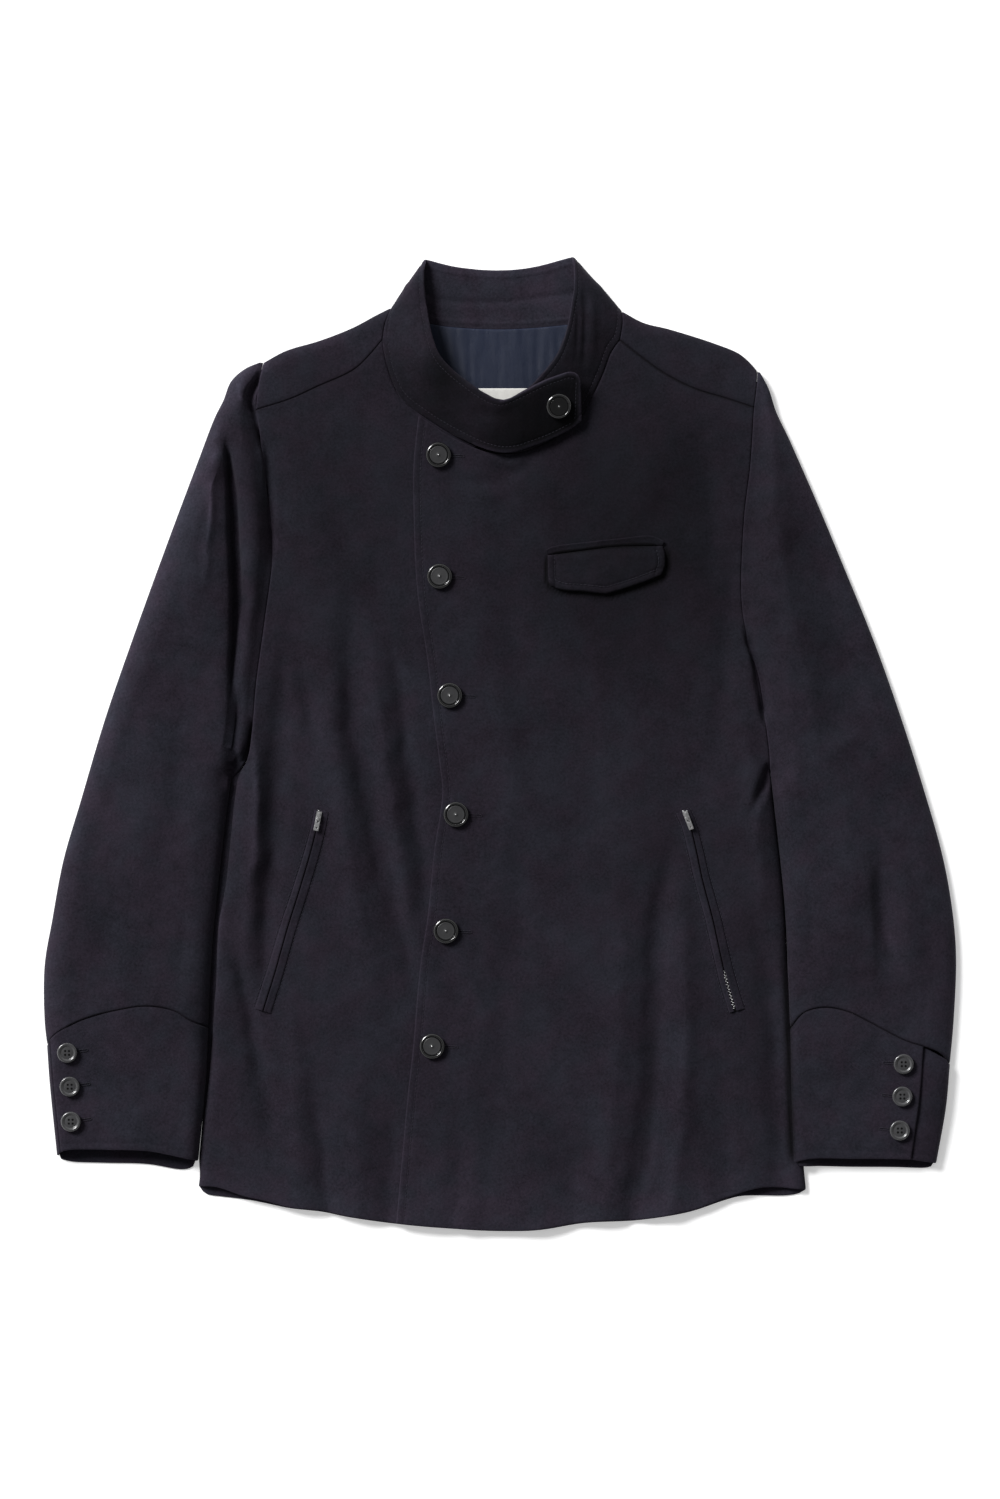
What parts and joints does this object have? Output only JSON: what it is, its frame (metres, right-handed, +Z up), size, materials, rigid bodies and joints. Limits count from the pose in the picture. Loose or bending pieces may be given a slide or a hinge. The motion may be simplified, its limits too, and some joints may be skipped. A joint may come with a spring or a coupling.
{
  "type": "fencing jacket",
  "caption": "Stand-collar jacket laid flat: slanting buttoned front with a collar tab, flap chest pocket, zipped hand pockets, arched button cuffs and a curved hem.",
  "frame": {"origin": "centre of the laid-out jacket's outline, on the surface it lies on", "axes": "+Z up off the surface, +Y from the hem to the collar, +X towards the side of the chest pocket"},
  "size_m": [0.7313, 0.7788, 0.0254],
  "materials": {
    "shell_cloth": "matt brushed weave",
    "lining": "smooth satin lining",
    "label": "plain woven",
    "button": "polished",
    "zip_tape": "woven tape and dark teeth",
    "zip_metal": "bright plated"
  },
  "bodies": {
    "jacket": {"back_panel": "shell_cloth", "front_under": "shell_cloth", "front_over": "shell_cloth", "yoke_left": "shell_cloth", "yoke_right": "shell_cloth", "sleeve_top_left": "shell_cloth", "sleeve_under_left": "shell_cloth", "sleeve_top_right": "shell_cloth", "sleeve_under_right": "shell_cloth", "cuff_left": "shell_cloth", "cuff_right": "shell_cloth", "collar": "shell_cloth", "lining": "lining", "label": "label", "chest_flap": "shell_cloth", "chest_welt": "shell_cloth", "zip_left": "zip_tape", "zip_slider_left": "zip_metal", "zip_right": "zip_tape", "zip_slider_right": "zip_metal", "front_button_1": "button", "front_button_2": "button", "front_button_3": "button", "front_button_4": "button", "front_button_5": "button", "front_button_6": "button", "cuff_button_left_1": "button", "cuff_button_left_2": "button", "cuff_button_left_3": "button", "cuff_button_right_1": "button", "cuff_button_right_2": "button", "cuff_button_right_3": "button", "tab_button": "button"},
    "zip_pull_left": {"zip_pull_left": "zip_metal"},
    "zip_pull_right": {"zip_pull_right": "zip_metal"}
  },
  "joints": [
    {"name": "left_pull_swing", "type": "hinge", "parent": "jacket", "child": "zip_pull_left", "pos_m": [-0.14588, -0.06003, 0.01206], "axis": [-0.9832, 0.1824, 0], "range_deg": [0, 120]},
    {"name": "right_pull_swing", "type": "hinge", "parent": "jacket", "child": "zip_pull_right", "pos_m": [0.14854, -0.0595, 0.01205], "axis": [-0.9354, -0.3536, 0], "range_deg": [0, 120]}
  ]
}
